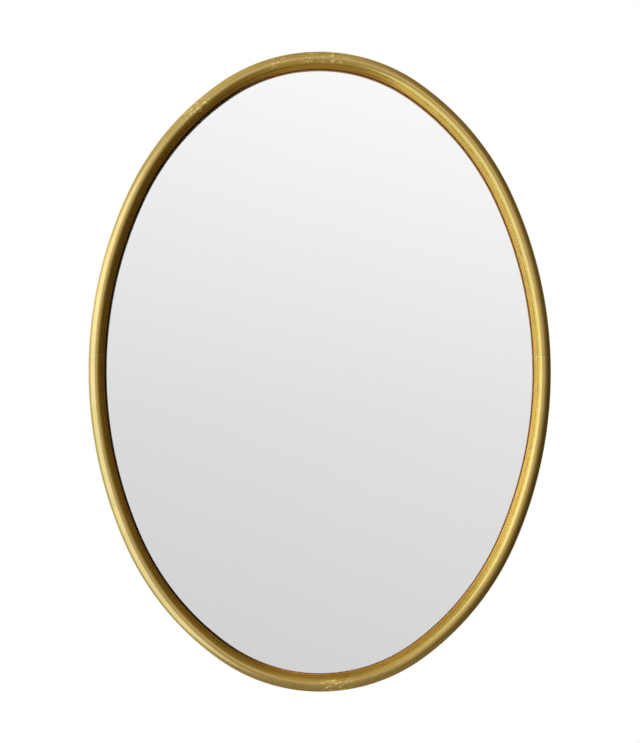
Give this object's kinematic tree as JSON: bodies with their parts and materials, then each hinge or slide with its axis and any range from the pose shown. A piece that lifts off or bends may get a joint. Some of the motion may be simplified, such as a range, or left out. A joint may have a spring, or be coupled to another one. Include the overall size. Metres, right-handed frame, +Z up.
{
  "type": "oval mirror",
  "caption": "Oval wall mirror in a slim rounded satin brass frame, with a silvered pane, a back board held by turn buttons, and swinging D-ring hangers.",
  "frame": {"origin": "middle of the oval, on the wall plane that the bumpers meet", "axes": "+Z up along the oval's long axis, +Y backward into the wall, +X to the viewer's right, the pane faces -Y"},
  "size_m": [0.504, 0.0273, 0.6998],
  "materials": {
    "moulding_brass": "satin, aged",
    "strap_brass": "mill",
    "pin_brass": "bright",
    "core_wood": "stained",
    "dowel_wood": "plain",
    "tape_felt": "felt",
    "pane_glass": "clear",
    "silvering": "silvered, painted behind",
    "block_rubber": "matte",
    "board": "hardboard",
    "button_steel": "zinc plated",
    "screw_steel": "zinc plated",
    "washer_steel": "zinc plated",
    "hanger_steel": "zinc plated",
    "ring_steel": "zinc plated",
    "bumper_rubber": "matte"
  },
  "bodies": {
    "mirror": {"back_board": "board", "core_dowels": "dowel_wood", "core_left_half": "core_wood", "core_right_half": "core_wood", "frame_lower_half": "moulding_brass", "frame_pins": "pin_brass", "frame_upper_half": "moulding_brass", "glass_tape": "tape_felt", "hanger_screws": "screw_steel", "hanger_strap_left": "hanger_steel", "hanger_strap_right": "hanger_steel", "joint_strap_left": "strap_brass", "joint_strap_right": "strap_brass", "mirror_glass": "pane_glass", "setting_blocks": "block_rubber", "silver_coating": "silvering", "turn_button_screws": "screw_steel", "wall_bumpers": "bumper_rubber", "washers": "washer_steel"},
    "turn_button_1": {"turn_button_1": "button_steel"},
    "turn_button_2": {"turn_button_2": "button_steel"},
    "turn_button_3": {"turn_button_3": "button_steel"},
    "turn_button_4": {"turn_button_4": "button_steel"},
    "turn_button_5": {"turn_button_5": "button_steel"},
    "turn_button_6": {"turn_button_6": "button_steel"},
    "turn_button_7": {"turn_button_7": "button_steel"},
    "turn_button_8": {"turn_button_8": "button_steel"},
    "hanger_ring_left": {"hanger_ring_left": "ring_steel"},
    "hanger_ring_right": {"hanger_ring_right": "ring_steel"}
  },
  "joints": [
    {"name": "turn_button_1_turn", "type": "hinge", "parent": "mirror", "child": "turn_button_1", "pos_m": [0.22965, -0.0049, 0.11516], "axis": [0, 1, 0], "continuous": true},
    {"name": "turn_button_2_turn", "type": "hinge", "parent": "mirror", "child": "turn_button_2", "pos_m": [0.09104, -0.0049, 0.3179], "axis": [0, 1, 0], "continuous": true},
    {"name": "turn_button_3_turn", "type": "hinge", "parent": "mirror", "child": "turn_button_3", "pos_m": [-0.09104, -0.0049, 0.3179], "axis": [0, 1, 0], "continuous": true},
    {"name": "turn_button_4_turn", "type": "hinge", "parent": "mirror", "child": "turn_button_4", "pos_m": [-0.22965, -0.0049, 0.11516], "axis": [0, 1, 0], "continuous": true},
    {"name": "turn_button_5_turn", "type": "hinge", "parent": "mirror", "child": "turn_button_5", "pos_m": [-0.22965, -0.0049, -0.11516], "axis": [0, 1, 0], "continuous": true},
    {"name": "turn_button_6_turn", "type": "hinge", "parent": "mirror", "child": "turn_button_6", "pos_m": [-0.09104, -0.0049, -0.3179], "axis": [0, 1, 0], "continuous": true},
    {"name": "turn_button_7_turn", "type": "hinge", "parent": "mirror", "child": "turn_button_7", "pos_m": [0.09104, -0.0049, -0.3179], "axis": [0, 1, 0], "continuous": true},
    {"name": "turn_button_8_turn", "type": "hinge", "parent": "mirror", "child": "turn_button_8", "pos_m": [0.22965, -0.0049, -0.11516], "axis": [0, 1, 0], "continuous": true},
    {"name": "hanger_ring_right_swing", "type": "hinge", "parent": "mirror", "child": "hanger_ring_right", "pos_m": [0.17097, -0.00352, 0.24487], "axis": [0.829, 0, 0.5592], "range_deg": [0, 180]},
    {"name": "hanger_ring_left_swing", "type": "hinge", "parent": "mirror", "child": "hanger_ring_left", "pos_m": [-0.17097, -0.00352, 0.24487], "axis": [0.829, 0, -0.5592], "range_deg": [0, 180]}
  ]
}
